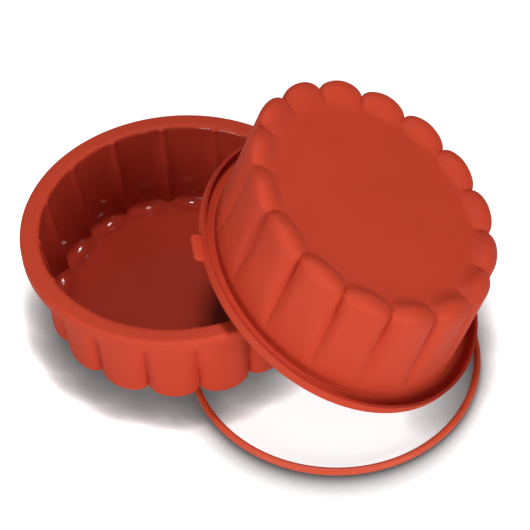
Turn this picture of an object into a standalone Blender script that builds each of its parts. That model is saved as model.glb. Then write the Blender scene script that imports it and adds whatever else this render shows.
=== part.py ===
"""Two silicone charlotte moulds and a loose support ring.

The first mould stands with its far side on the table and its near side on the ring. The
second is turned over and leans on the first mould's rim and on the ring. Lengths are in
metres, +Z is up and the origin is on the table.
"""

import math
from dataclasses import dataclass

import bmesh
import bpy
from mathutils import Matrix, Vector
from mathutils.bvhtree import BVHTree

MM = 0.001
GROUP_NAME = "charlotte_mould"
GUIDE_GROUP_NAME = "charlotte_mould_guides"

# Mould
LOBE_COUNT = 16
COLUMNS_PER_LOBE = 6
MOULD_DEPTH = 70 * MM
WALL = 2 * MM
RIM_RADIUS = 100 * MM
FLANGE_WIDTH = 10.5 * MM
LIP_DEPTH = 8 * MM
LIP_CORNER = 0.6 * MM
WALL_TOP_RADIUS = RIM_RADIUS - FLANGE_WIDTH
WALL_TOP_CORNER = 1.1 * MM
WALL_DRAFT = 1 * MM
CROWN_WIDTH = 8 * MM
CROWN_RADIUS = WALL_TOP_RADIUS - WALL_DRAFT - CROWN_WIDTH
CROWN_INNER_WIDTH = 13 * MM
CROWN_HEIGHT = 8 * MM
CROWN_SQUARENESS = 2.2
FLOOR_RECESS = 6.5 * MM
CROWN_FLATNESS = 2.5
NOTCH_SHARPNESS = 0.94
INNER_SCALLOP = 0.3
FLUTE_TOP_DEPTH = 8 * MM
FLUTE_NARROWNESS = 6
FLUTE_SOFT_RISE = 0.5
CROWN_OUTER_STEPS_DEG = (0, 22, 45, 68, 90)
CROWN_INNER_SHARES = (0.28, 0.52, 0.76, 1)

# Grip tab on the lip
TAB_WIDTH = 18 * MM
TAB_REACH = 6.5 * MM
TAB_ROOT = 1.2 * MM
TAB_THICKNESS = 3 * MM
TAB_ROUNDING = 3 * MM
TAB_TOP_DEPTH = 2 * MM

# Ring
RING_WIDTH = 4.6 * MM
RING_GRIP = 0.6 * MM
RING_OUTER_RADIUS = WALL_TOP_RADIUS - RING_GRIP + RING_WIDTH
RING_HEIGHT = 5 * MM
RING_STEPS = 96
RING_SIDES = 10

# Places: the middle of each rim or ring in plan, before the group is centred, as shares of
# the rim's radius. The tilts and the heights come from what each mould rests on.
UPRIGHT_PLACE = Vector((-0.4888, 0.2271, 0)) * RIM_RADIUS
UPRIGHT_TILT_RANGE_DEG = (-4, 20)
UPRIGHT_TILT_TOWARDS_DEG = 124.87
UPRIGHT_TURN_DEG = 19.29
UPRIGHT_TAB_DEG = -30
LEANING_PLACE = Vector((0.5133, -0.0617, 0)) * RIM_RADIUS
LEANING_TILT_RANGE_DEG = (120, 175)
LEANING_TILT_TOWARDS_DEG = 172.27
LEANING_TURN_DEG = 35.6
LEANING_TAB_DEG = 297
LEANING_SLUMP = (0.228, -0.07)
RING_PLACE = Vector((0.4867, -0.2912, 0)) * RIM_RADIUS
RESTING_GAP = 0.3 * MM
TILT_SEARCH_STEPS = 16

COLOUR_MOULD = (0.52, 0.045, 0.02, 1.0)
COLOUR_RING = (0.60, 0.075, 0.03, 1.0)


def clear_scene():
    """Remove whatever the open file holds."""
    for item in list(bpy.data.objects):
        bpy.data.objects.remove(item, do_unlink=True)
    for mesh in list(bpy.data.meshes):
        bpy.data.meshes.remove(mesh)


def new_collection(name):
    """Return an empty collection of this name, linked to the scene."""
    old = bpy.data.collections.get(name)
    if old:
        bpy.data.collections.remove(old)
    group = bpy.data.collections.new(name)
    bpy.context.scene.collection.children.link(group)
    return group


def silicone(name, colour, roughness):
    """Make a plain silicone material."""
    material = bpy.data.materials.new(name)
    material.use_nodes = True
    shader = material.node_tree.nodes["Principled BSDF"]
    shader.inputs["Base Color"].default_value = colour
    shader.inputs["Roughness"].default_value = roughness
    shader.inputs["Metallic"].default_value = 0.0
    material.diffuse_color = colour
    return material


def crown_section():
    """Return the crown's outside from the wall over its tip to the floor, as (radius, height)."""
    power = 2 / CROWN_SQUARENESS
    points = []
    for degrees in CROWN_OUTER_STEPS_DEG:
        turn = math.radians(degrees)
        points.append((CROWN_RADIUS + CROWN_WIDTH * abs(math.cos(turn)) ** power,
                       CROWN_HEIGHT * (1 - math.sin(turn) ** power)))
    for share in CROWN_INNER_SHARES:
        points.append((CROWN_RADIUS - CROWN_INNER_WIDTH * share,
                       FLOOR_RECESS * (1 - math.cos(math.pi * share)) / 2))
    return points


def mould_profile():
    """Return the unfluted outside from the lip's lower edge to the middle of the floor."""
    under_flange = MOULD_DEPTH - WALL
    inner_lip = RIM_RADIUS - WALL
    flute_top = MOULD_DEPTH - FLUTE_TOP_DEPTH
    crown = crown_section()
    middle = (WALL_TOP_RADIUS + crown[0][0]) / 2, (flute_top + crown[0][1]) / 2
    return [
        (inner_lip, MOULD_DEPTH - LIP_DEPTH),
        (inner_lip, under_flange - LIP_CORNER),
        (inner_lip - LIP_CORNER, under_flange),
        (WALL_TOP_RADIUS + WALL_TOP_CORNER, under_flange),
        (WALL_TOP_RADIUS, under_flange - WALL_TOP_CORNER),
        (WALL_TOP_RADIUS, flute_top),
        middle,
        *crown,
        (0.0, FLOOR_RECESS),
    ]


def across_lobe(angle):
    """Return 0 for an angle in the middle of a lobe and 1 for one at a notch."""
    return abs((angle * LOBE_COUNT / math.tau + 0.5) % 1.0 * 2 - 1)


def crown_share(angle):
    """Return a crown's relative size at this angle: 1 at its middle, least at a notch."""
    return math.sqrt(1 - NOTCH_SHARPNESS * across_lobe(angle) ** CROWN_FLATNESS)


def flute_share(angle, rise):
    """Return the wall's relative reach at this angle and at this share of the flute's height.

    The wall starts as the crowns do, goes over to a narrow soft groove and ends round.
    """
    crown = 1 - crown_share(angle)
    deepest = 1 - math.sqrt(1 - NOTCH_SHARPNESS)
    groove = deepest * ((1 - math.cos(math.pi * across_lobe(angle))) / 2) ** FLUTE_NARROWNESS
    soft = min(rise / FLUTE_SOFT_RISE, 1)
    return 1 - (1 - rise) * (crown + (groove - crown) * soft)


def fluted(radius, height, angle):
    """Move a point of the round form onto the fluted one, and return (radius, height)."""
    if height >= CROWN_HEIGHT - 1e-7:
        rise = (height - CROWN_HEIGHT) / (MOULD_DEPTH - FLUTE_TOP_DEPTH - CROWN_HEIGHT)
        share = flute_share(angle, min(rise, 1))
        return CROWN_RADIUS + (radius - CROWN_RADIUS) * share, height
    share = crown_share(angle)
    if radius >= CROWN_RADIUS - 1e-7:
        return (CROWN_RADIUS + (radius - CROWN_RADIUS) * share,
                CROWN_HEIGHT - (CROWN_HEIGHT - height) * share)
    climb = (FLOOR_RECESS - height) / FLOOR_RECESS
    notch_height = CROWN_HEIGHT * (1 - share)
    return (CROWN_RADIUS + (radius - CROWN_RADIUS) * share ** INNER_SCALLOP,
            FLOOR_RECESS + (notch_height - FLOOR_RECESS) * climb)


def spun_profile(points, steps):
    """Turn a profile once round the Z axis and return it as an open bmesh surface."""
    surface = bmesh.new()
    ring = [surface.verts.new((radius, 0.0, height)) for radius, height in points]
    edges = [surface.edges.new(pair) for pair in zip(ring, ring[1:])]
    bmesh.ops.spin(surface, geom=ring + edges, cent=(0, 0, 0), axis=(0, 0, 1),
                   angle=math.tau, steps=steps, use_duplicate=False, use_merge=True)
    bmesh.ops.remove_doubles(surface, verts=surface.verts, dist=1e-6)
    return surface


def shape_flutes(surface, slump):
    """Press the flutes into a round shell, and shift its body over its rim by the slump."""
    under_flange = MOULD_DEPTH - WALL
    for vert in surface.verts:
        radius = math.hypot(vert.co.x, vert.co.y)
        if radius > WALL_TOP_RADIUS + WALL_TOP_CORNER + 1e-6:
            continue
        height = vert.co.z
        angle = math.atan2(vert.co.y, vert.co.x)
        if radius > 1e-6:
            radius, height = fluted(radius, height, angle)
        shift = max(under_flange - height, 0.0)
        vert.co = (radius * math.cos(angle) + slump[0] * shift,
                   radius * math.sin(angle) + slump[1] * shift, height)


def face_normals_into_mouth(surface):
    """Turn every face so that its normal points to the mould's mouth side."""
    bmesh.ops.recalc_face_normals(surface, faces=surface.faces)
    floor = min(surface.faces, key=lambda face: face.calc_center_median().xy.length)
    if floor.normal.z < 0:
        bmesh.ops.reverse_faces(surface, faces=surface.faces)


def add_object(name, mesh, group, material):
    """Link a new object for this mesh and give it its material."""
    item = bpy.data.objects.new(name, mesh)
    group.objects.link(item)
    mesh.materials.append(material)
    return item


def tab_guide(name, angle, group):
    """Make the grip tab's solid, in the mould's frame, to be joined to the lip."""
    length = TAB_REACH + TAB_ROOT
    solid = bmesh.new()
    bmesh.ops.create_cube(solid, size=1.0)
    bmesh.ops.scale(solid, vec=(length, TAB_WIDTH, TAB_THICKNESS), verts=solid.verts)
    outer = [edge for edge in solid.edges
             if all(vert.co.x > 0 for vert in edge.verts)
             and abs(edge.verts[0].co.z - edge.verts[1].co.z) > 1e-6]
    bmesh.ops.bevel(solid, geom=outer, offset=TAB_ROUNDING, segments=4, profile=0.5,
                    affect="EDGES")
    middle = RIM_RADIUS - TAB_ROOT + length / 2
    drop = MOULD_DEPTH - TAB_TOP_DEPTH - TAB_THICKNESS / 2
    bmesh.ops.translate(solid, vec=(middle, 0, drop), verts=solid.verts)
    bmesh.ops.rotate(solid, cent=(0, 0, 0), matrix=Matrix.Rotation(angle, 3, "Z"),
                     verts=solid.verts)
    mesh = bpy.data.meshes.new(name)
    solid.to_mesh(mesh)
    solid.free()
    guide = bpy.data.objects.new(name, mesh)
    guide.hide_render = True
    guide.display_type = "WIRE"
    group.objects.link(guide)
    return guide


def add_mould(name, tab_angle, slump, groups, material):
    """Build one mould, standing on its crowns at the origin, and return its object."""
    surface = spun_profile(mould_profile(), LOBE_COUNT * COLUMNS_PER_LOBE)
    shape_flutes(surface, slump)
    face_normals_into_mouth(surface)
    mesh = bpy.data.meshes.new(name)
    surface.to_mesh(mesh)
    surface.free()
    mesh.shade_smooth()
    mould = add_object(name, mesh, groups[0], material)
    shell = mould.modifiers.new("Wall", "SOLIDIFY")
    shell.thickness = WALL
    shell.offset = 1.0
    shell.use_even_offset = True
    tab = tab_guide(name + "_tab", tab_angle, groups[1])
    tab.parent = mould
    joined = mould.modifiers.new("Grip tab", "BOOLEAN")
    joined.operation = "UNION"
    joined.solver = "EXACT"
    joined.object = tab
    return mould


def add_ring(name, group, material):
    """Build the loose ring, lying on the table round the origin."""
    mesh_radius = RING_WIDTH / 2
    bpy.ops.mesh.primitive_torus_add(
        major_segments=RING_STEPS, minor_segments=RING_SIDES,
        major_radius=RING_OUTER_RADIUS - mesh_radius, minor_radius=mesh_radius)
    ring = bpy.context.object
    ring.name = name
    ring.data.name = name
    low = min(vert.co.z for vert in ring.data.vertices)
    for vert in ring.data.vertices:
        vert.co.z = (vert.co.z - low) * RING_HEIGHT / (-2 * low)
    for owner in list(ring.users_collection):
        owner.objects.unlink(ring)
    group.objects.link(ring)
    ring.data.materials.append(material)
    ring.data.shade_smooth()
    return ring


@dataclass
class Solid:
    """A piece's finished surface in its own frame, for finding what it rests on."""

    item: bpy.types.Object
    points: list
    tree: BVHTree


def solid_of(item):
    """Read a piece's evaluated surface."""
    evaluated = item.evaluated_get(bpy.context.evaluated_depsgraph_get())
    mesh = evaluated.to_mesh()
    points = [vert.co.copy() for vert in mesh.vertices]
    faces = [tuple(face.vertices) for face in mesh.polygons]
    evaluated.to_mesh_clear()
    return Solid(item, points, BVHTree.FromPolygons(points, faces))


def least_ray(points, pose, tree, tree_pose, direction):
    """Return the shortest way from posed points along a direction to a posed surface."""
    into = tree_pose.inverted() @ pose
    way = tree_pose.inverted().to_3x3() @ direction
    hits = (tree.ray_cast(into @ point, way)[3] for point in points)
    return min((hit for hit in hits if hit is not None), default=math.inf)


def drop_onto(upper, pose, lower, lower_pose):
    """Return how far the upper solid can sink from its pose before it meets the lower one."""
    down, up = Vector((0, 0, -1)), Vector((0, 0, 1))
    return min(least_ray(upper.points, pose, lower.tree, lower_pose, down),
               least_ray(lower.points, lower_pose, upper.tree, pose, up))


def drop_to_table(upper, pose):
    """Return how far the solid can sink from its pose before it meets the table."""
    return min((pose @ point).z for point in upper.points)


def tilted(tilt, towards_deg, turn_deg):
    """Return the rotation of a mould turned about its axis and then tilted by an angle."""
    towards = math.radians(towards_deg)
    axis = Vector((-math.sin(towards), math.cos(towards), 0.0))
    return Matrix.Rotation(tilt, 4, axis) @ Matrix.Rotation(math.radians(turn_deg), 4, "Z")


def rest(mould, place, tilt_range_deg, towards_deg, turn_deg, drops):
    """Tilt a mould until it meets both of its supports, and lower it onto them.

    The first drop is to the support that it tilts towards, the second to the other one.
    """
    high = Vector((0, 0, 2 * (MOULD_DEPTH + RIM_RADIUS + RING_HEIGHT)))
    rim = Matrix.Translation(Vector((0, 0, -MOULD_DEPTH)))

    def raised(tilt):
        return (Matrix.Translation(place + high)
                @ tilted(tilt, towards_deg, turn_deg) @ rim)

    low, top = (math.radians(limit) for limit in tilt_range_deg)
    for _ in range(TILT_SEARCH_STEPS):
        tilt = (low + top) / 2
        pose = raised(tilt)
        if drops[0](mould, pose) < drops[1](mould, pose):
            top = tilt
        else:
            low = tilt
    pose = raised((low + top) / 2)
    fall = min(drop(mould, pose) for drop in drops) - RESTING_GAP
    pose = Matrix.Translation(Vector((0, 0, -fall))) @ pose
    mould.item.location = pose.to_translation()
    mould.item.rotation_euler = pose.to_euler()
    return pose


def centre_in_plan(solids):
    """Move all pieces so that their bounding box is centred on the origin in plan."""
    bpy.context.view_layer.update()
    points = [solid.item.matrix_world @ point for solid in solids for point in solid.points]
    for axis in range(2):
        values = [point[axis] for point in points]
        middle = (min(values) + max(values)) / 2
        for solid in solids:
            solid.item.location[axis] -= middle


def main():
    clear_scene()
    groups = new_collection(GROUP_NAME), new_collection(GUIDE_GROUP_NAME)
    ring = solid_of(add_ring("support_ring", groups[0],
                             silicone("ring_silicone", COLOUR_RING, 0.35)))
    ring.item.location = RING_PLACE
    ring_pose = Matrix.Translation(RING_PLACE)

    def onto_ring(mould, pose):
        return drop_onto(mould, pose, ring, ring_pose)

    upright = solid_of(add_mould("upright_mould", math.radians(UPRIGHT_TAB_DEG), (0.0, 0.0),
                                 groups, silicone("upright_silicone", COLOUR_MOULD, 0.4)))
    upright_pose = rest(upright, UPRIGHT_PLACE, UPRIGHT_TILT_RANGE_DEG,
                        UPRIGHT_TILT_TOWARDS_DEG, UPRIGHT_TURN_DEG,
                        (drop_to_table, onto_ring))

    def onto_upright(mould, pose):
        return drop_onto(mould, pose, upright, upright_pose)

    leaning = solid_of(add_mould("leaning_mould", math.radians(LEANING_TAB_DEG),
                                 LEANING_SLUMP, groups,
                                 silicone("leaning_silicone", COLOUR_MOULD, 0.45)))
    rest(leaning, LEANING_PLACE, LEANING_TILT_RANGE_DEG, LEANING_TILT_TOWARDS_DEG,
         LEANING_TURN_DEG, (onto_upright, onto_ring))
    centre_in_plan([ring, upright, leaning])


main()
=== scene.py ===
"""Studio picture of two silicone charlotte moulds and their loose support ring."""

from __future__ import annotations

import logging
import math
from dataclasses import dataclass
from enum import Enum, IntEnum
from typing import Any

import bmesh
import bpy
from mathutils import Matrix, Vector

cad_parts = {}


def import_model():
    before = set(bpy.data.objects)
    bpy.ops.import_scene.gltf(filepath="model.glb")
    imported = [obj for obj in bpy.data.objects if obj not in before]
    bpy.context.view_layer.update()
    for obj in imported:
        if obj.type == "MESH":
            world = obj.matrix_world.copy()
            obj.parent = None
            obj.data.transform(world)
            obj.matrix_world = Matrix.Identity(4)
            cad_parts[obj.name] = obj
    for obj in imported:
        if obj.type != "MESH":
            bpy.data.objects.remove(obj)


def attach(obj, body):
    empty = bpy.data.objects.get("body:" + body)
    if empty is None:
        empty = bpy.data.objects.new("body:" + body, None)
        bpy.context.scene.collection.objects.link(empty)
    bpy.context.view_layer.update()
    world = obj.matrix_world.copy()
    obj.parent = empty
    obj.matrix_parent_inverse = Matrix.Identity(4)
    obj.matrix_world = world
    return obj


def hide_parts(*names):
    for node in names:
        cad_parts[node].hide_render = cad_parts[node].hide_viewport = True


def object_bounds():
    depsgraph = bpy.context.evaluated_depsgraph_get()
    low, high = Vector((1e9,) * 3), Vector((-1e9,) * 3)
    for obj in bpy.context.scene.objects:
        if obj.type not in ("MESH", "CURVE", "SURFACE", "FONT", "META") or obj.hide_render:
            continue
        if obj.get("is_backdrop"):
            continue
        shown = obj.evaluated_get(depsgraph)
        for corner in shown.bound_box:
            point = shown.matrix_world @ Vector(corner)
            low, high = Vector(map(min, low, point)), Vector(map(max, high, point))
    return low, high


LOG = logging.getLogger("charlotte_mould")
MM = 0.001
# Points nearer to each other than this, in metres, are one point.
MERGE = 1e-6
# Room for rounding where a point's place is compared with a size, in metres.
ROUNDING = 1e-7
# The photograph's side in pixels, which the camera's focal length is given in.
IMAGE_SIDE = 530
SENSOR_WIDTH = 36.0
# Nearly all values of a noise texture lie between these two.
NOISE_LOW, NOISE_HIGH = 0.3, 0.7


def linear(hex_colour: str) -> tuple[float, float, float, float]:
    """Turn an sRGB hex colour into Blender's linear RGBA.

    Args:
        hex_colour: Six hex digits with a leading hash.

    Returns:
        The linear colour with full alpha.
    """
    parts = [int(hex_colour[i:i + 2], 16) / 255 for i in (1, 3, 5)]
    turned = [v / 12.92 if v <= 0.04045 else ((v + 0.055) / 1.055) ** 2.4 for v in parts]
    return turned[0], turned[1], turned[2], 1.0


def quarter_turn(steps: int) -> list[float]:
    """Return the angles from 0 to a right angle in equal steps, with both ends."""
    return [math.pi / 2 * step / steps for step in range(steps + 1)]


def add_node(tree: bpy.types.NodeTree, kind: str,
             settings: dict[str | int, Any] | None = None,
             links: dict[str | int, bpy.types.NodeSocket] | None = None) -> bpy.types.Node:
    """Add one node, set it up and link its inputs.

    Args:
        tree: The node tree that gets the node.
        kind: Blender's name for the node's type.
        settings: Values by attribute name, or else by the input's name or, where
            several inputs share one name, its number.
        links: Output sockets by the name or number of the input that they feed.

    Returns:
        The new node.
    """
    node = tree.nodes.new(kind)
    for name, value in (settings or {}).items():
        if isinstance(name, str) and hasattr(node, name):
            setattr(node, name, value)
        else:
            node.inputs[name].default_value = value
    for name, socket in (links or {}).items():
        tree.links.new(socket, node.inputs[name])
    return node


class Slot(Enum):
    """The names of two material slots."""

    MOULD = "mould_silicone"
    RING = "ring_silicone"


class Face(IntEnum):
    """A mould's two faces, numbered as its finishes are."""

    INSIDE = 0
    OUTSIDE = 1


@dataclass(frozen=True)
class MouldedSilicone:
    """Platinum silicone rubber as it leaves a compression mould.

    The pigment gives a deep red with slow changes of tone. A polished core leaves one
    face glossy, and a blasted cavity leaves the other satin. The grain is about a tenth
    of a millimetre across, too fine to show, so it is drawn eleven to sixteen times as
    coarse.
    """

    name: str
    colour: str
    tone: str
    roughness: float
    roughness_spread: float
    tone_size: float = 45 * MM
    rubbed_share: float = 0.35
    grain_size: float = 1.1 * MM
    grain_height: float = 0.012 * MM
    ior: float = 1.41
    depth_of_glow: float = 1.2 * MM
    glow_reach: tuple[float, float, float] = (1.0, 0.25, 0.15)
    glow: float = 0.06
    specular: float = 0.5

    def material(self) -> bpy.types.Material:
        """Build the finish's node material.

        Returns:
            The new material.
        """
        made = bpy.data.materials.new(self.name)
        made.use_nodes = True
        tree = made.node_tree
        tree.nodes.clear()
        place = add_node(tree, "ShaderNodeTexCoord").outputs["Object"]
        cloud = add_node(tree, "ShaderNodeTexNoise",
                         {"Scale": 1 / self.tone_size, "Detail": 3.0, "Roughness": 0.55},
                         {"Vector": place})
        mixed = add_node(tree, "ShaderNodeMix",
                         {"data_type": "RGBA", "clamp_factor": True,
                          "A": linear(self.colour), "B": linear(self.tone)},
                         {"Factor": cloud.outputs["Fac"]})
        rubbed = add_node(tree, "ShaderNodeTexNoise",
                          {"Scale": 1 / (self.tone_size * self.rubbed_share), "Detail": 4.0},
                          {"Vector": place})
        rough = add_node(tree, "ShaderNodeMapRange",
                         {"From Min": NOISE_LOW, "From Max": NOISE_HIGH,
                          "To Min": self.roughness - self.roughness_spread,
                          "To Max": self.roughness + self.roughness_spread},
                         {"Value": rubbed.outputs["Fac"]})
        grain = add_node(tree, "ShaderNodeTexNoise",
                         {"Scale": 1 / self.grain_size, "Detail": 2.0}, {"Vector": place})
        bump = add_node(tree, "ShaderNodeBump",
                        {"Strength": 1.0, "Distance": self.grain_height},
                        {"Height": grain.outputs["Fac"]})
        shader = add_node(tree, "ShaderNodeBsdfPrincipled",
                          {"IOR": self.ior, "Subsurface Weight": self.glow,
                           "Subsurface Scale": self.depth_of_glow,
                           "Subsurface Radius": self.glow_reach,
                           "Specular IOR Level": self.specular},
                          {"Base Color": mixed.outputs["Result"],
                           "Roughness": rough.outputs["Result"],
                           "Normal": bump.outputs["Normal"]})
        add_node(tree, "ShaderNodeOutputMaterial", {}, {"Surface": shader.outputs["BSDF"]})
        return made


# The blasted face scatters its reflections, so the eye sees the pigment's own red.
SATIN_OUTSIDE = MouldedSilicone("satin_silicone_outside", "#C44229", "#BC3D25", 0.6, 0.05,
                                grain_size=1.6 * MM, grain_height=0.06 * MM, specular=0.22)
# The polished face mirrors the lamps as small white sparks along its corners. Its base red is
# darker than the outside's, though both are one silicone: painted shade for the hollow inside.
GLOSSY_INSIDE_PAINTED_SHADE = MouldedSilicone("glossy_silicone_inside_painted_shade", "#B03828", "#A43222", 0.1, 0.025,
                                grain_height=0.004 * MM, specular=0.4)
# The ring's face is as it left the mould, between the two, with one soft light line.
RING_RUBBER = MouldedSilicone("silicone_ring", "#C94D30", "#C2462B", 0.42, 0.05, specular=0.35)


@dataclass(frozen=True)
class Pose:
    """Where a mould stands: the middle of its rim, its tilt and its turn."""

    rim_centre: tuple[float, float, float]
    tilt_deg: float
    towards_deg: float
    turn_deg: float

    def matrix(self, depth: float) -> Matrix:
        """Return the mould's place in the scene.

        Args:
            depth: The mould's depth from its crowns to its rim.

        Returns:
            The matrix that takes the mould from its own frame to the scene.
        """
        towards = math.radians(self.towards_deg)
        axis = Vector((-math.sin(towards), math.cos(towards), 0.0))
        return (Matrix.Translation(Vector(self.rim_centre))
                @ Matrix.Rotation(math.radians(self.tilt_deg), 4, axis)
                @ Matrix.Rotation(math.radians(self.turn_deg), 4, "Z")
                @ Matrix.Translation(Vector((0.0, 0.0, -depth))))


@dataclass
class CharlotteMould:
    """One fluted mould, moulded in one piece with its lip and grip tab.

    A mould's own frame has its axis upright, its crowns' tips at height 0 and its rim on
    top. Slump is the sideways shift of its body for each unit of depth under the flange.
    """

    name: str
    node: str
    body: str
    pose: Pose
    tab_deg: float
    slump: tuple[float, float] = (0.0, 0.0)
    lobes: int = 16
    columns_per_lobe: int = 28
    corner_steps: int = 5
    crown_steps: int = 12
    wall_rows: int = 14
    sharp_from_deg: float = 50.0
    depth: float = 70 * MM
    wall: float = 2 * MM
    rim_radius: float = 100 * MM
    lip_depth: float = 8 * MM
    lip_rows: tuple[float, ...] = (0.0, 0.5 * MM, 2 * MM, 4 * MM)
    lip_corner: float = 0.6 * MM
    under_flange_radii: tuple[float, ...] = (96 * MM, 94 * MM, 92 * MM)
    wall_top_radius: float = 89.5 * MM
    wall_top_corner: float = 1.1 * MM
    floor_radii: tuple[float, ...] = (66 * MM, 56 * MM, 44 * MM, 30 * MM, 15 * MM, 0.0)
    crown_radius: float = 80.5 * MM
    crown_width: float = 8 * MM
    crown_inner_width: float = 13 * MM
    crown_height: float = 8 * MM
    crown_squareness: float = 2.2
    floor_recess: float = 6.5 * MM
    crown_flatness: float = 2.5
    crown_top_flatness: float = 1.6
    notch_sharpness: float = 0.94
    inner_scallop: float = 0.3
    flute_top_depth: float = 8 * MM
    flute_narrowness: float = 6.0
    flute_soft_rise: float = 0.5
    rib_height: float = 0.9 * MM
    rib_half_width: float = 1.4 * MM
    rib_edge: float = 1.1 * MM
    rib_face_from: float = 0.3
    rib_face_run: float = 0.5
    crease_depth: float = 0.9 * MM
    crease_half_width: float = 2 * MM
    crease_face_within: float = 0.1
    run_in: float = 4 * MM
    tab_width: float = 18 * MM
    tab_reach: float = 6.5 * MM
    tab_root: float = 1.2 * MM
    tab_thickness: float = 3 * MM
    tab_rounding: float = 3 * MM
    tab_edge: float = 0.7 * MM
    tab_top_depth: float = 2 * MM
    finishes: tuple[MouldedSilicone, MouldedSilicone] = (GLOSSY_INSIDE_PAINTED_SHADE, SATIN_OUTSIDE)

    def crown_section(self) -> list[tuple[float, float]]:
        """Work out the crown's outside from the wall over its tip to the floor.

        Returns:
            The section's points, each a radius and a height.
        """
        power = 2 / self.crown_squareness
        points = [(self.crown_radius + self.crown_width * abs(math.cos(turn)) ** power,
                   self.crown_height * (1 - math.sin(turn) ** power))
                  for turn in quarter_turn(self.crown_steps)]
        for step in range(1, self.crown_steps + 1):
            share = step / self.crown_steps
            points.append((self.crown_radius - self.crown_inner_width * share,
                           self.floor_recess * (1 - math.cos(math.pi * share)) / 2))
        return points

    def profile(self) -> list[tuple[float, float]]:
        """Work out the unfluted outside from the lip's lower edge to the floor's middle.

        Returns:
            The profile's points, each a radius and a height.
        """
        under_flange = self.depth - self.wall
        inner_lip = self.rim_radius - self.wall
        flute_top = self.depth - self.flute_top_depth
        crown = self.crown_section()
        foot_radius, foot_height = crown[0]
        points = [(inner_lip, self.depth - self.lip_depth + rise) for rise in self.lip_rows]
        points += [(inner_lip - self.lip_corner * (1 - math.cos(turn)),
                    under_flange - self.lip_corner * (1 - math.sin(turn)))
                   for turn in quarter_turn(self.corner_steps)]
        points += [(radius, under_flange) for radius in self.under_flange_radii]
        points += [(self.wall_top_radius + self.wall_top_corner * (1 - math.sin(turn)),
                    under_flange - self.wall_top_corner * (1 - math.cos(turn)))
                   for turn in quarter_turn(self.corner_steps)]
        points.append((self.wall_top_radius, (points[-1][1] + flute_top) / 2))
        for step in range(self.wall_rows):
            share = step / self.wall_rows
            points.append((self.wall_top_radius + (foot_radius - self.wall_top_radius) * share,
                           flute_top + (foot_height - flute_top) * share))
        points += crown
        points += [(radius, self.floor_recess) for radius in self.floor_radii]
        return points

    def across_lobe(self, angle: float) -> float:
        """Return 0 for an angle in the middle of a lobe and 1 for one at a notch."""
        return abs((angle * self.lobes / math.tau + 0.5) % 1.0 * 2 - 1)

    def crown_share(self, angle: float, flatness: float) -> float:
        """Return a crown's relative size at an angle.

        Args:
            angle: The angle round the mould's axis.
            flatness: How far the crown keeps its size from its middle towards the notch.

        Returns:
            The share, 1 in the crown's middle and least at a notch.
        """
        return math.sqrt(1 - self.notch_sharpness * self.across_lobe(angle) ** flatness)

    def flute_share(self, angle: float, rise: float) -> float:
        """Return the wall's relative reach at an angle.

        Args:
            angle: The angle round the mould's axis.
            rise: The share of the flute's height, 0 at its foot and 1 where it ends.

        Returns:
            The reach, as the crowns' at the foot, with a narrow soft groove over it.
        """
        crown = 1 - self.crown_share(angle, self.crown_flatness)
        deepest = 1 - math.sqrt(1 - self.notch_sharpness)
        bend = (1 - math.cos(math.pi * self.across_lobe(angle))) / 2
        groove = deepest * bend ** self.flute_narrowness
        soft = min(rise / self.flute_soft_rise, 1.0)
        return 1 - (1 - rise) * (crown + (groove - crown) * soft)

    def fluted(self, radius: float, height: float, angle: float) -> tuple[float, float]:
        """Move a point of the round form onto the fluted one.

        Args:
            radius: The point's distance from the mould's axis.
            height: Its height over the crown tips.
            angle: Its angle round the axis.

        Returns:
            The new radius and height.
        """
        if height >= self.crown_height - ROUNDING:
            flute_top = self.depth - self.flute_top_depth
            rise = (height - self.crown_height) / (flute_top - self.crown_height)
            share = self.flute_share(angle, min(rise, 1.0))
            return self.crown_radius + (radius - self.crown_radius) * share, height
        share = self.crown_share(angle, self.crown_flatness)
        tall = self.crown_share(angle, self.crown_top_flatness)
        if radius >= self.crown_radius - ROUNDING:
            return (self.crown_radius + (radius - self.crown_radius) * share,
                    self.crown_height - (self.crown_height - height) * tall)
        if radius < self.crown_radius - self.crown_inner_width - ROUNDING:
            return radius, height
        climb = (self.floor_recess - height) / self.floor_recess
        notch_height = self.crown_height * (1 - tall)
        reach = share ** self.inner_scallop
        return (self.crown_radius + (radius - self.crown_radius) * reach,
                self.floor_recess + (notch_height - self.floor_recess) * climb)

    def shell(self) -> bpy.types.Mesh:
        """Spin the profile, press the flutes into it and shift the slumped body.

        Returns:
            The mould's outside as an open surface whose normals face its mouth.
        """
        surface = bmesh.new()
        line = [surface.verts.new((radius, 0.0, height)) for radius, height in self.profile()]
        edges = [surface.edges.new(pair) for pair in zip(line, line[1:])]
        bmesh.ops.spin(surface, geom=line + edges, cent=(0, 0, 0), axis=(0, 0, 1),
                       angle=math.tau, steps=self.lobes * self.columns_per_lobe,
                       use_duplicate=False, use_merge=True)
        bmesh.ops.remove_doubles(surface, verts=surface.verts, dist=MERGE)
        under_flange = self.depth - self.wall
        body_radius = self.wall_top_radius + self.wall_top_corner + MERGE
        for vert in surface.verts:
            radius = math.hypot(vert.co.x, vert.co.y)
            if radius > body_radius:
                continue
            height, angle = vert.co.z, math.atan2(vert.co.y, vert.co.x)
            if radius > MERGE:
                radius, height = self.fluted(radius, height, angle)
            shift = max(under_flange - height, 0.0)
            vert.co = (radius * math.cos(angle) + self.slump[0] * shift,
                       radius * math.sin(angle) + self.slump[1] * shift, height)
        bmesh.ops.recalc_face_normals(surface, faces=surface.faces)
        floor = min(surface.faces, key=lambda face: face.calc_center_median().xy.length)
        if floor.normal.z < 0:
            bmesh.ops.reverse_faces(surface, faces=surface.faces)
        mesh = bpy.data.meshes.new(self.name)
        surface.to_mesh(mesh)
        surface.free()
        return mesh

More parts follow.
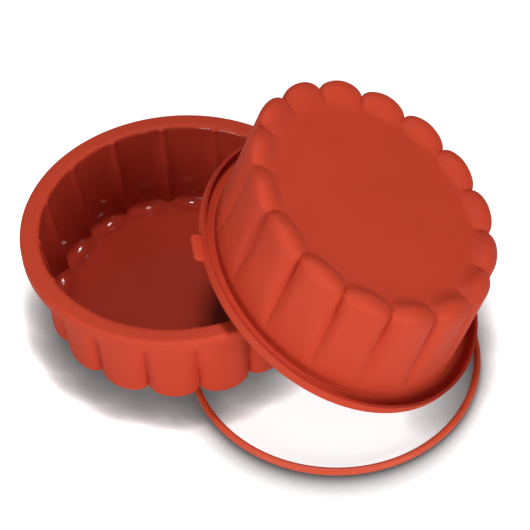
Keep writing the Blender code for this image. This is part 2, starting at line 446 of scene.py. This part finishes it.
    def sharpen_flutes(self, mesh: bpy.types.Mesh) -> None:
        """Crease the grooves outside, and raise the low ribs that back them inside.

        A vertex's share of the wall, 0 on the outside and 1 on the inside, tells which of
        the two it belongs to.

        Args:
            mesh: The mould's thick mesh in its own frame, which is changed.
        """
        half_lobe = math.pi * self.wall_top_radius / self.lobes
        flute_top = self.depth - self.flute_top_depth
        foot = self.crown_radius + self.crown_width
        for vert in mesh.vertices:
            height = vert.co.z
            run_in = (height - self.crown_height - self.wall) / self.run_in
            if run_in <= 0.0:
                continue
            shift = max(self.depth - self.wall - height, 0.0)
            x = vert.co.x - self.slump[0] * shift
            y = vert.co.y - self.slump[1] * shift
            radius, angle = math.hypot(x, y), math.atan2(y, x)
            rise = min((height - self.crown_height) / (flute_top - self.crown_height), 1.0)
            plain = foot + (self.wall_top_radius - foot) * rise
            into_wall = (self.fluted(plain, height, angle)[0] - radius) / self.wall
            from_notch = (1 - self.across_lobe(angle)) * half_lobe
            if into_wall > self.rib_face_from:
                reach = 1 - (from_notch - self.rib_half_width) / self.rib_edge
                inside = (into_wall - self.rib_face_from) / self.rib_face_run
                full = self.rib_height * min(inside, 1.0)
            elif abs(into_wall) < self.crease_face_within:
                reach = 1 - from_notch / self.crease_half_width
                full = self.crease_depth * min(max((flute_top - height) / self.run_in, 0), 1)
            else:
                continue
            push = full * min(run_in, 1.0) * min(max(reach, 0.0), 1.0)
            vert.co.x -= push * math.cos(angle)
            vert.co.y -= push * math.sin(angle)

    def tab(self) -> bpy.types.Object:
        """Make the grip tab as a rounded plate at its place on the lip.

        Returns:
            The tab's object, a spare that the mould is joined with.
        """
        length = self.tab_reach + self.tab_root
        plate = bmesh.new()
        bmesh.ops.create_cube(plate, size=1.0)
        bmesh.ops.scale(plate, vec=(length, self.tab_width, self.tab_thickness),
                        verts=plate.verts)
        corners = [edge for edge in plate.edges
                   if all(vert.co.x > 0 for vert in edge.verts)
                   and abs(edge.verts[0].co.z - edge.verts[1].co.z) > MERGE]
        bmesh.ops.bevel(plate, geom=corners, offset=self.tab_rounding, segments=8,
                        profile=0.5, affect="EDGES", material=-1)
        around = [edge for edge in plate.edges
                  if abs(edge.verts[0].co.z - edge.verts[1].co.z) < ROUNDING
                  and max(edge.verts[0].co.x, edge.verts[1].co.x) > -length / 2 + MERGE]
        bmesh.ops.bevel(plate, geom=around, offset=self.tab_edge, segments=4, profile=0.5,
                        affect="EDGES", material=-1)
        height = self.depth - self.tab_top_depth - self.tab_thickness / 2
        middle = self.rim_radius - self.tab_root + length / 2
        bmesh.ops.translate(plate, vec=(middle, 0, height), verts=plate.verts)
        bmesh.ops.rotate(plate, cent=(0, 0, 0), verts=plate.verts,
                         matrix=Matrix.Rotation(math.radians(self.tab_deg), 3, "Z"))
        mesh = bpy.data.meshes.new(self.name + "_tab")
        plate.to_mesh(mesh)
        plate.free()
        made = bpy.data.objects.new(mesh.name, mesh)
        bpy.context.scene.collection.objects.link(made)
        return made

    def thick_mesh(self) -> bpy.types.Mesh:
        """Give the shell its wall and its finishes, and join the grip tab to its lip.

        Returns:
            The mould's closed mesh in its own frame.
        """
        rough = bpy.data.objects.new(self.name + "_rough", self.shell())
        bpy.context.scene.collection.objects.link(rough)
        for finish in self.finishes:
            rough.data.materials.append(finish.material())
        wall = rough.modifiers.new("Wall", "SOLIDIFY")
        wall.thickness = self.wall
        wall.offset = 1.0
        wall.use_even_offset = True
        wall.material_offset = Face.OUTSIDE
        wall.material_offset_rim = Face.INSIDE
        tab = self.tab()
        joined = rough.modifiers.new("Tab", "BOOLEAN")
        joined.operation = "UNION"
        joined.solver = "EXACT"
        joined.object = tab
        bpy.context.view_layer.update()
        depsgraph = bpy.context.evaluated_depsgraph_get()
        mesh = bpy.data.meshes.new_from_object(rough.evaluated_get(depsgraph))
        for spare in (rough, tab):
            bpy.data.objects.remove(spare, do_unlink=True)
        mesh.name = self.name
        return mesh

    def blast_rim(self, mesh: bpy.types.Mesh) -> None:
        """Give the rim's top, the lip's outer face and the tab the outside's finish.

        Args:
            mesh: The mould's thick mesh in its own frame, which is changed.
        """
        for face in mesh.polygons:
            out = math.hypot(face.center.x, face.center.y)
            if (face.center.z > self.depth - self.wall_top_corner
                    or out > self.rim_radius - self.wall / 2):
                face.material_index = Face.OUTSIDE

    def build(self) -> bpy.types.Object:
        """Build the finished mould in its place.

        Returns:
            The mould's object, with its place in its mesh.
        """
        mesh = self.thick_mesh()
        self.sharpen_flutes(mesh)
        self.blast_rim(mesh)
        mesh.transform(self.pose.matrix(self.depth))
        mesh.shade_smooth()
        mesh.set_sharp_from_angle(angle=math.radians(self.sharp_from_deg))
        made = bpy.data.objects.new(self.name, mesh)
        bpy.context.scene.collection.objects.link(made)
        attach(made, self.body)
        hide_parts(self.node)
        return made


@dataclass
class SupportRing:
    """The loose ring that snaps into the groove under a mould's flange."""

    name: str = "loose_ring"
    node: str = "support_ring"
    body: str = "ring"
    centre: tuple[float, float] = (48.522 * MM, -29.124 * MM)
    outer_radius: float = 93.5 * MM
    width: float = 4.6 * MM
    height: float = 5 * MM
    flat_height: float = 0.08 * MM
    steps: int = 256
    sides: int = 28

    def build(self) -> bpy.types.Object:
        """Build the ring in its place.

        Returns:
            The ring's object.
        """
        middle = self.outer_radius - self.width / 2
        surface = bmesh.new()
        section = []
        for step in range(self.sides):
            turn = math.tau * step / self.sides
            height = max(self.height / 2 * (1 + math.sin(turn)), self.flat_height)
            section.append(surface.verts.new(
                (middle + self.width / 2 * math.cos(turn), 0.0, height)))
        loop = [surface.edges.new(pair) for pair in zip(section, section[1:] + section[:1])]
        bmesh.ops.spin(surface, geom=section + loop, cent=(0, 0, 0), axis=(0, 0, 1),
                       angle=math.tau, steps=self.steps, use_duplicate=False,
                       use_merge=True)
        bmesh.ops.remove_doubles(surface, verts=surface.verts, dist=MERGE)
        bmesh.ops.translate(surface, vec=(*self.centre, 0.0), verts=surface.verts)
        bmesh.ops.recalc_face_normals(surface, faces=surface.faces)
        mesh = bpy.data.meshes.new(self.name)
        surface.to_mesh(mesh)
        surface.free()
        mesh.shade_smooth()
        mesh.materials.append(RING_RUBBER.material())
        made = bpy.data.objects.new(self.name, mesh)
        bpy.context.scene.collection.objects.link(made)
        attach(made, self.body)
        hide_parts(self.node)
        return made


@dataclass(frozen=True)
class Softbox:
    """A white rectangular studio lamp aimed at the middle of the group."""

    name: str
    place: tuple[float, float, float]
    size: tuple[float, float]
    power: float
    aim: tuple[float, float, float] = (0.0, 0.0, 60 * MM)

    def build(self) -> bpy.types.Object:
        """Add the lamp to the scene.

        Returns:
            The lamp's object.
        """
        lamp = bpy.data.lights.new(self.name, "AREA")
        lamp.shape = "RECTANGLE"
        lamp.size, lamp.size_y = self.size
        lamp.energy = self.power
        made = bpy.data.objects.new(self.name, lamp)
        made.location = self.place
        way = Vector(self.aim) - Vector(self.place)
        made.rotation_euler = way.to_track_quat("-Z", "Y").to_euler()
        bpy.context.scene.collection.objects.link(made)
        return made


@dataclass
class Studio:
    """The white table, the lamps, the surroundings and the camera.

    The table lies table_gap under the pieces, so that no two faces share a plane. Only to
    the camera, its paper glows by table_lift as far out as group_radius and by 1, full
    white, from white_from on. The paper looks for what stands near it towards shadow_from,
    and the shadow falls the other way.
    """

    table_side: float = 6.0
    table_gap: float = 0.05 * MM
    camera_place: tuple[float, float, float] = (5.95 * MM, -739.54 * MM, 906.88 * MM)
    focal_pixels: float = 1794.68
    pitch_deg: float = 49.0037
    roll_deg: float = -0.982
    yaw_deg: float = 0.055
    world_strength: float = 0.1
    table_colour: float = 0.8
    table_lift: float = 0.65
    group_radius: float = 0.25
    white_from: float = 1.0
    shadow_samples: int = 16
    shadow_width: float = 23 * MM
    shadow_power: float = 4.2
    shadow_depth: float = 0.9
    shadow_from: tuple[float, float, float] = (0.15, 0.85, 0.5)
    lamps: tuple[Softbox, ...] = (
        Softbox("left_softbox", (-0.916, -1.309, 0.581), (0.9, 0.7), 13.4),
        Softbox("right_softbox", (0.916, -1.309, 0.581), (0.9, 0.7), 15.4),
        Softbox("top_softbox", (0.0, 0.148, 1.694), (0.3, 0.3), 14.8),
    )

    def paper(self) -> bpy.types.Material:
        """Build the table's white paper.

        The camera sees the paper lifted to white, with a narrow soft shadow in front of
        whatever stands on it. Neither of the two changes the light on the object.

        Returns:
            The new material.
        """
        made = bpy.data.materials.new("white_paper_sweep")
        made.use_nodes = True
        tree = made.node_tree
        tree.nodes.clear()
        seen = add_node(tree, "ShaderNodeLightPath").outputs["Is Camera Ray"]
        lean = add_node(tree, "ShaderNodeCombineXYZ", dict(zip("XYZ", self.shadow_from)))
        near = add_node(tree, "ShaderNodeAmbientOcclusion",
                        {"samples": self.shadow_samples, "Distance": self.shadow_width},
                        {"Normal": lean.outputs["Vector"]})
        open_share = add_node(tree, "ShaderNodeMath",
                              {"operation": "POWER", 1: self.shadow_power},
                              {0: near.outputs["AO"]})
        weight = add_node(tree, "ShaderNodeMath",
                          {"operation": "MULTIPLY", 1: self.shadow_depth}, {0: seen})
        kept = add_node(tree, "ShaderNodeMix", {"data_type": "FLOAT", "A": 1.0},
                        {"Factor": weight.outputs["Value"], "B": open_share.outputs["Value"]})
        matt = add_node(tree, "ShaderNodeMath",
                        {"operation": "MULTIPLY", 1: self.table_colour},
                        {0: kept.outputs["Result"]})
        place = add_node(tree, "ShaderNodeTexCoord").outputs["Object"]
        away = add_node(tree, "ShaderNodeVectorMath", {"operation": "LENGTH"}, {0: place})
        lift = add_node(tree, "ShaderNodeMapRange",
                        {"From Min": self.group_radius, "From Max": self.white_from,
                         "To Min": self.table_lift, "To Max": 1.0},
                        {"Value": away.outputs["Value"]})
        shown = add_node(tree, "ShaderNodeMath", {"operation": "MULTIPLY"},
                         {0: kept.outputs["Result"], 1: seen})
        strength = add_node(tree, "ShaderNodeMath", {"operation": "MULTIPLY"},
                            {0: shown.outputs["Value"], 1: lift.outputs["Result"]})
        paint = add_node(tree, "ShaderNodeBsdfDiffuse", {}, {"Color": matt.outputs["Value"]})
        glow = add_node(tree, "ShaderNodeEmission", {},
                        {"Strength": strength.outputs["Value"]})
        both = add_node(tree, "ShaderNodeAddShader", {},
                        {0: paint.outputs["BSDF"], 1: glow.outputs["Emission"]})
        add_node(tree, "ShaderNodeOutputMaterial", {}, {"Surface": both.outputs["Shader"]})
        return made

    def table(self) -> bpy.types.Object:
        """Add the white table, which shows white to the camera and keeps its shadows.

        Returns:
            The table's object.
        """
        sheet = bmesh.new()
        bmesh.ops.create_grid(sheet, x_segments=1, y_segments=1, size=self.table_side / 2)
        bmesh.ops.translate(sheet, vec=(0.0, 0.0, -self.table_gap), verts=sheet.verts)
        mesh = bpy.data.meshes.new("table")
        sheet.to_mesh(mesh)
        sheet.free()
        made = bpy.data.objects.new("table", mesh)
        bpy.context.scene.collection.objects.link(made)
        mesh.materials.append(self.paper())
        made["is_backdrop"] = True
        return made

    def surroundings(self) -> None:
        """Give the world a plain grey light, and show it white to the camera."""
        world = bpy.data.worlds.new("studio")
        bpy.context.scene.world = world
        world.use_nodes = True
        tree = world.node_tree
        tree.nodes.clear()
        rays = add_node(tree, "ShaderNodeLightPath")
        strength = add_node(tree, "ShaderNodeMapRange",
                            {"To Min": self.world_strength, "To Max": 1.0},
                            {"Value": rays.outputs["Is Camera Ray"]})
        back = add_node(tree, "ShaderNodeBackground", {"Color": linear("#FFFFFF")},
                        {"Strength": strength.outputs["Result"]})
        add_node(tree, "ShaderNodeOutputWorld", {}, {"Surface": back.outputs["Background"]})

    def camera(self) -> bpy.types.Object:
        """Add the camera at the photograph's place and angle.

        Returns:
            The camera's object.
        """
        lens = bpy.data.cameras.new("camera")
        lens.sensor_width = SENSOR_WIDTH
        lens.lens = self.focal_pixels / IMAGE_SIDE * SENSOR_WIDTH
        lens.clip_end = 20.0
        made = bpy.data.objects.new("camera", lens)
        turn = (Matrix.Rotation(math.radians(self.yaw_deg), 4, "Z")
                @ Matrix.Rotation(math.radians(90 - self.pitch_deg), 4, "X")
                @ Matrix.Rotation(math.radians(self.roll_deg), 4, "Z"))
        made.matrix_world = Matrix.Translation(Vector(self.camera_place)) @ turn
        bpy.context.scene.collection.objects.link(made)
        bpy.context.scene.camera = made
        return made

    def build(self) -> None:
        """Set up everything round the object."""
        self.table()
        self.surroundings()
        for lamp in self.lamps:
            lamp.build()
        self.camera()
        bpy.context.scene.view_settings.view_transform = "Standard"


def moulds() -> list[CharlotteMould]:
    """Return the two moulds, posed as the CAD model's moulds rest on each other."""
    return [
        CharlotteMould("standing_mould", "upright_mould", "upright",
                       Pose((-49.028 * MM, 22.706 * MM, 72.810 * MM), 1.825, 124.87, 19.29),
                       tab_deg=-30),
        CharlotteMould("turned_mould", "leaning_mould", "leaning",
                       Pose((51.182 * MM, -6.174 * MM, 54.515 * MM), 149.605, 172.27, 35.6),
                       tab_deg=297, slump=(0.228, -0.07)),
    ]


def keep_inside(pieces: list[bpy.types.Object], box: tuple[Vector, Vector]) -> None:
    """Take off the hundredths of a millimetre by which finer curves pass the CAD's box.

    Args:
        pieces: The finished pieces, whose meshes are changed.
        box: The CAD model's lower and upper corner.
    """
    for piece in pieces:
        for vert in piece.data.vertices:
            vert.co = [min(max(value, box[0][axis]), box[1][axis])
                       for axis, value in enumerate(vert.co)]


def main() -> None:
    """Load the frame, dress the three pieces and light them."""
    logging.basicConfig(level=logging.INFO, format="%(name)s: %(message)s")
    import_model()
    cad_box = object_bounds()
    Studio().build()
    pieces = [mould.build() for mould in moulds()] + [SupportRing().build()]
    for piece in pieces:
        LOG.info("%s has %d faces", piece.name, len(piece.data.polygons))
    keep_inside(pieces, cad_box)


if __name__ == "__main__":
    main()
